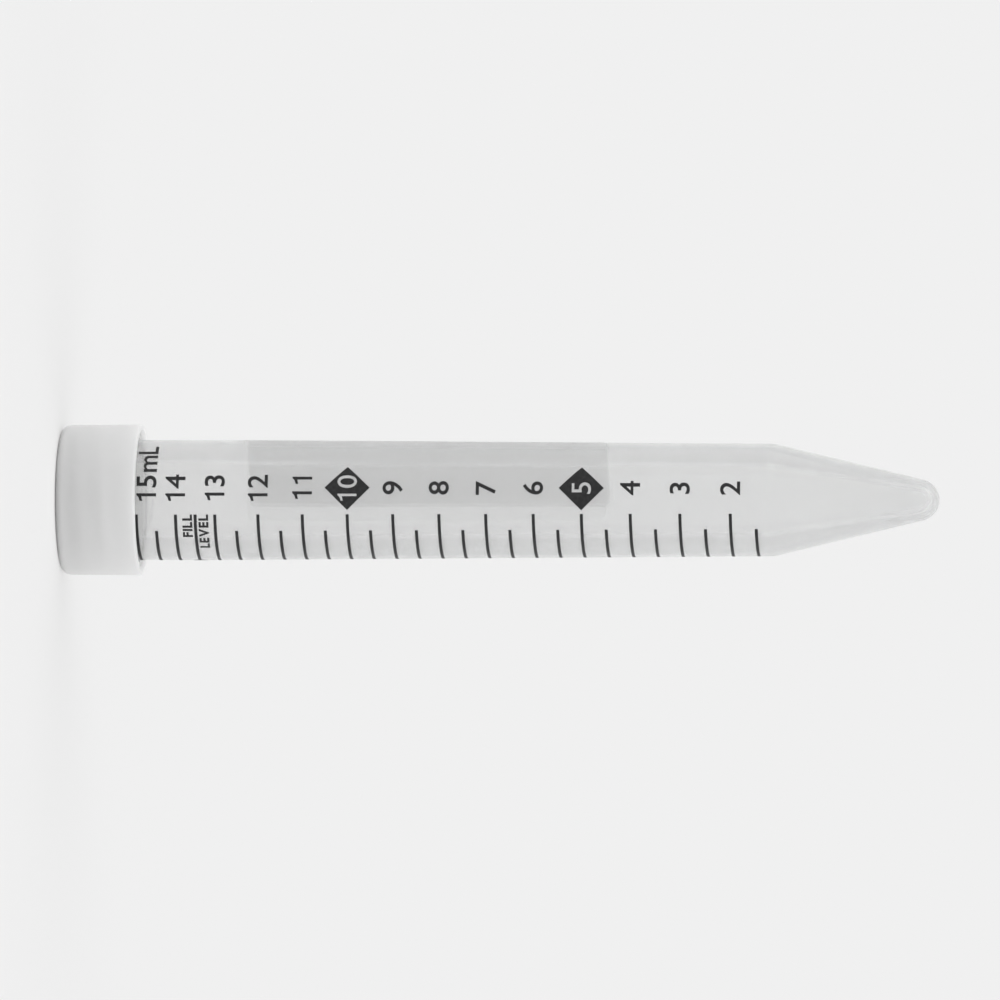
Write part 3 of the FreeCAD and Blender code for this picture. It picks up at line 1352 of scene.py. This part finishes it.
@dataclass(frozen=True)
class NaturalPolyethylene:
    """Undyed high-density polyethylene, injection-moulded in a fine spark-eroded cavity.

    The eye gets a milky, waxy white that light sinks into, with a satin surface.

    Attributes:
        colour: The colour of the plastic.
        scatter_depth: How far light sinks in, in millimetres.
        ior: The index of refraction.
        roughness: The roughness in the middle of its spread.
        rough_spread: How far the roughness strays from that.
        cloud: Size of the patches in which it strays, in millimetres.
        grain: Size of the grain, in millimetres. The real one is near 0.05, and this is as fine as
            shows.
        grain_depth: Depth of the grain, in millimetres.
    """

    colour: str = "#FBFBF9"
    scatter_depth: float = 5.5
    ior: float = 1.51
    roughness: float = 0.42
    rough_spread: float = 0.05
    cloud: float = 6.0
    grain: float = 0.45
    grain_depth: float = 0.006

    def make(self) -> bpy.types.Material:
        """Build the material.

        Returns:
            The material.
        """
        material, tree = new_material(Slot.CAP.value)
        place = tree.nodes.new("ShaderNodeTexCoord").outputs["Object"]
        grain, clouds = (
            add_node(
                tree,
                "ShaderNodeTexNoise",
                {"Vector": place, "Scale": 1 / (size * MM), "Detail": 2.0},
            )
            for size in (self.grain, self.cloud)
        )
        satin = {
            "Value": clouds,
            "From Min": NOISE_LOW,
            "From Max": NOISE_HIGH,
            "To Min": self.roughness - self.rough_spread,
            "To Max": self.roughness + self.rough_spread,
        }
        relief = {"Height": grain, "Strength": 1.0, "Distance": self.grain_depth * MM}
        surface = {
            "Base Color": linear(self.colour),
            "Roughness": add_node(tree, "ShaderNodeMapRange", satin),
            "IOR": self.ior,
            "Subsurface Weight": 1.0,
            "Subsurface Radius": (1.0, 1.0, 1.0),
            "Subsurface Scale": self.scatter_depth * MM,
            "Normal": add_node(tree, "ShaderNodeBump", relief),
        }
        shader = add_node(tree, "ShaderNodeBsdfPrincipled", surface)
        add_node(tree, "ShaderNodeOutputMaterial", {"Surface": shader})
        return material


@dataclass(frozen=True)
class ScreenInk:
    """Screen-printed ink, cured hard.

    The eye gets a dense, even field with a dull sheen and the faint mottle of the mesh.

    Attributes:
        name: The ink's name.
        colour: Its colour where it lies thick.
        thin_colour: Its colour where it lies thin.
        thin_start: Where on the mottle's scale of 0 to 1 it starts to lie thin.
        thin_end: Where it lies thinnest.
        roughness: The roughness in the middle of its spread.
        rough_spread: How far the roughness strays from that.
        gloss: How strongly it shines, where 0.5 is as plastic does.
        see_through: How far light sinks in, in millimetres.
        mottle: Size of the mottle, in millimetres. The screen's mesh is near 0.1, and this is as
            fine as shows.
    """

    name: str
    colour: str
    thin_colour: str
    thin_start: float = 0.45
    thin_end: float = 0.75
    roughness: float = 0.5
    rough_spread: float = 0.1
    gloss: float = 0.25
    see_through: float = 0.0
    mottle: float = 0.5

    def make(self) -> bpy.types.Material:
        """Build the material.

        Returns:
            The material.
        """
        material, tree = new_material(self.name)
        place = tree.nodes.new("ShaderNodeTexCoord").outputs["Object"]
        mesh = {"Vector": place, "Scale": 1 / (self.mottle * MM), "Detail": 3.0}
        mottle = add_node(tree, "ShaderNodeTexNoise", mesh)
        lie = {"Value": mottle, "From Min": self.thin_start, "From Max": self.thin_end}
        thin = add_node(tree, "ShaderNodeMapRange", lie)
        # Inputs 6 and 7 are the colours that are mixed, and output 2 is the mixed one.
        colours = {0: thin, 6: linear(self.colour), 7: linear(self.thin_colour)}
        dull = {
            "Value": mottle,
            "To Min": self.roughness - self.rough_spread,
            "To Max": self.roughness + self.rough_spread,
        }
        surface = {
            "Base Color": add_node(tree, "ShaderNodeMix", colours, data_type="RGBA").outputs[2],
            "Roughness": add_node(tree, "ShaderNodeMapRange", dull),
            "Specular IOR Level": self.gloss,
            "Subsurface Weight": 1.0 if self.see_through else 0.0,
            "Subsurface Radius": (1.0, 1.0, 1.0),
            "Subsurface Scale": self.see_through * MM,
        }
        shader = add_node(tree, "ShaderNodeBsdfPrincipled", surface)
        add_node(tree, "ShaderNodeOutputMaterial", {"Surface": shader})
        return material


# ---------------------------------------------------------------- the studio


@dataclass
class Studio:
    """A pale floor under an even sky, two soft suns, and the camera.

    Attributes:
        backdrop: The colour that the camera sees behind the object.
        sky: Strength of the even light from all round.
        suns: Each sun's strength, elevation and azimuth in degrees, and width in degrees. Azimuth
            0 stands behind the camera and 90 to +X.
        floor_radius: Radius of the floor, in metres.
        floor_edges: The number of edges round the floor.
        shadow: How much of the object's shadow the camera sees on the floor, from 0 to 1.
        distance: How far the camera stands from the object, in metres.
        elevation: How high it stands, in degrees.
        lens: Its focal length, in millimetres.
        clip: The nearest and the farthest that it sees, in metres.
    """

    backdrop: str = "#F0F0F0"
    sky: float = 0.76
    suns: tuple[tuple[float, float, float, float], ...] = (
        (0.7, 55.0, -90.0, 60.0),
        (0.6, 55.0, 90.0, 60.0),
    )
    floor_radius: float = 6.0
    floor_edges: int = 96
    shadow: float = 0.6
    distance: float = 2.2
    elevation: float = 5.0
    lens: float = 581.0
    clip: tuple[float, float] = (0.01, 100.0)

    def build_world(self) -> None:
        """Light the scene from all round, and show the backdrop's colour behind it.

        That colour is what the camera sees straight, mirrored or through a clear wall.
        """
        world = bpy.data.worlds.new("studio")
        bpy.context.scene.world = world
        world.use_nodes = True
        tree = world.node_tree
        tree.nodes.clear()
        ray = tree.nodes.new("ShaderNodeLightPath").outputs
        seen = ray["Is Camera Ray"]
        for way in ("Is Glossy Ray", "Is Transmission Ray"):
            either = add_node(tree, "ShaderNodeMath", {0: seen, 1: ray[way]}, operation="MAXIMUM")
            seen = either.outputs[0]
        plain = {"Color": (1, 1, 1, 1), "Strength": self.sky}
        shown = {"Color": linear(self.backdrop), "Strength": 1.0}
        light, backdrop = (add_node(tree, "ShaderNodeBackground", look) for look in (plain, shown))
        both = add_node(tree, "ShaderNodeMixShader", {0: seen, 1: light, 2: backdrop})
        add_node(tree, "ShaderNodeOutputWorld", {"Surface": both})

    def build_suns(self) -> None:
        """Add the suns."""
        for number, (strength, elevation, azimuth, width) in enumerate(self.suns):
            light = bpy.data.lights.new(f"sun_{number}", "SUN")
            light.energy = strength
            light.angle = math.radians(width)
            sun = bpy.data.objects.new(f"sun_{number}", light)
            rise, turn = math.radians(elevation), math.radians(azimuth)
            level = math.cos(rise)
            towards = Vector((math.sin(turn) * level, -math.cos(turn) * level, math.sin(rise)))
            sun.rotation_euler = towards.to_track_quat("Z", "Y").to_euler()
            bpy.context.scene.collection.objects.link(sun)

    def floor_level(self) -> float:
        """How brightly a white floor would show, from the sky and the suns."""
        return self.sky + sum(
            strength * math.sin(math.radians(elevation)) / math.pi
            for strength, elevation, _, _ in self.suns
        )

    def build_floor(self) -> None:
        """Lay a matt floor that shows as the backdrop's colour where nothing shades it."""
        sheet = bmesh.new()
        radius = self.floor_radius / MM
        bmesh.ops.create_circle(sheet, cap_ends=True, segments=self.floor_edges, radius=radius)
        mesh = mesh_from(sheet, "floor")
        material, tree = new_material("matt_floor")
        shade = [min(1.0, part / self.floor_level()) for part in linear(self.backdrop)[:3]]
        matt = add_node(tree, "ShaderNodeBsdfDiffuse", {"Color": (*shade, 1.0)})
        even = add_node(tree, "ShaderNodeEmission", {"Color": linear(self.backdrop)})
        ray = tree.nodes.new("ShaderNodeLightPath").outputs["Is Camera Ray"]
        share = add_node(tree, "ShaderNodeMath", {0: ray, 1: 1 - self.shadow}, operation="MULTIPLY")
        above = add_node(tree, "ShaderNodeMixShader", {0: share, 1: matt, 2: even})
        below = tree.nodes.new("ShaderNodeBsdfTransparent")
        side = tree.nodes.new("ShaderNodeNewGeometry").outputs["Backfacing"]
        surface = add_node(tree, "ShaderNodeMixShader", {0: side, 1: above, 2: below})
        add_node(tree, "ShaderNodeOutputMaterial", {"Surface": surface})
        mesh.materials.append(material)
        add_object("floor", mesh)

    def build_camera(self) -> None:
        """Look at the tube's side from the front, turned so that the cap is on the left."""
        low, high = CAD_BOX
        rise = math.radians(self.elevation)
        back = Vector((0, -math.cos(rise), math.sin(rise)))
        right = Vector((0, math.sin(rise), math.cos(rise)))
        turned_frame = Matrix((right, back.cross(right), back)).transposed()
        camera = bpy.data.cameras.new("camera")
        camera.lens = self.lens
        camera.clip_start, camera.clip_end = self.clip
        holder = bpy.data.objects.new("camera", camera)
        holder.location = (low + high) / 2 + back * self.distance
        holder.rotation_euler = turned_frame.to_euler()
        bpy.context.scene.collection.objects.link(holder)
        bpy.context.scene.camera = holder

    def build(self) -> None:
        """Set up the whole studio."""
        bpy.context.scene.view_settings.view_transform = "Standard"
        self.build_world()
        self.build_suns()
        self.build_floor()
        self.build_camera()


# ---------------------------------------------------------------- the whole


SIZE_TOLERANCE = 0.05  # how far a dressed piece may leave its solid's box


def check_size(piece: bpy.types.Object, node: str) -> None:
    """Say if a dressed piece leaves the box of the solid that it stands for.

    Args:
        piece: The piece.
        node: The solid's name.
    """
    low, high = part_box(node)
    for axis in range(3):
        values = [vert.co[axis] for vert in piece.data.vertices]
        off = max(low[axis] - min(values), max(values) - high[axis]) / MM
        if off > SIZE_TOLERANCE:
            LOG.warning("%s leaves its solid by %.3f mm on axis %d", piece.name, off, axis)


def report(piece: bpy.types.Object) -> None:
    """Log a finished piece and its triangles."""
    piece.data.calc_loop_triangles()
    LOG.info("%s: %d triangles", piece.name, len(piece.data.loop_triangles))


def main() -> None:
    """Build the studio, the two mouldings and the print, and report each piece."""
    logging.basicConfig(level=logging.INFO, format="%(name)s: %(message)s")
    Studio().build()
    threads = thread_tree()
    black = ScreenInk(Slot.BLACK.value, "#262627", "#343435")
    white = ScreenInk(Slot.WHITE.value, "#FBFBFA", "#F5F5F4", roughness=0.65, see_through=0.1)
    tube = ClearTube()
    printer = Printer(tube)
    scale = VolumeScale(tube, printer, black.make())
    patch = WritingPatch(tube, printer, white.make())
    moulded = tube.build(threads, ClearPolypropylene().make())
    cap = ScrewCap().build(threads, NaturalPolyethylene().make())
    check_size(moulded, "tube")
    check_size(cap, "cap")
    for piece in (
        moulded,
        cap,
        scale.build_strokes(marks_tree()),
        scale.build_numbers(),
        scale.build_limit(),
        patch.build(),
    ):
        report(piece)


if __name__ == "__main__":
    main()
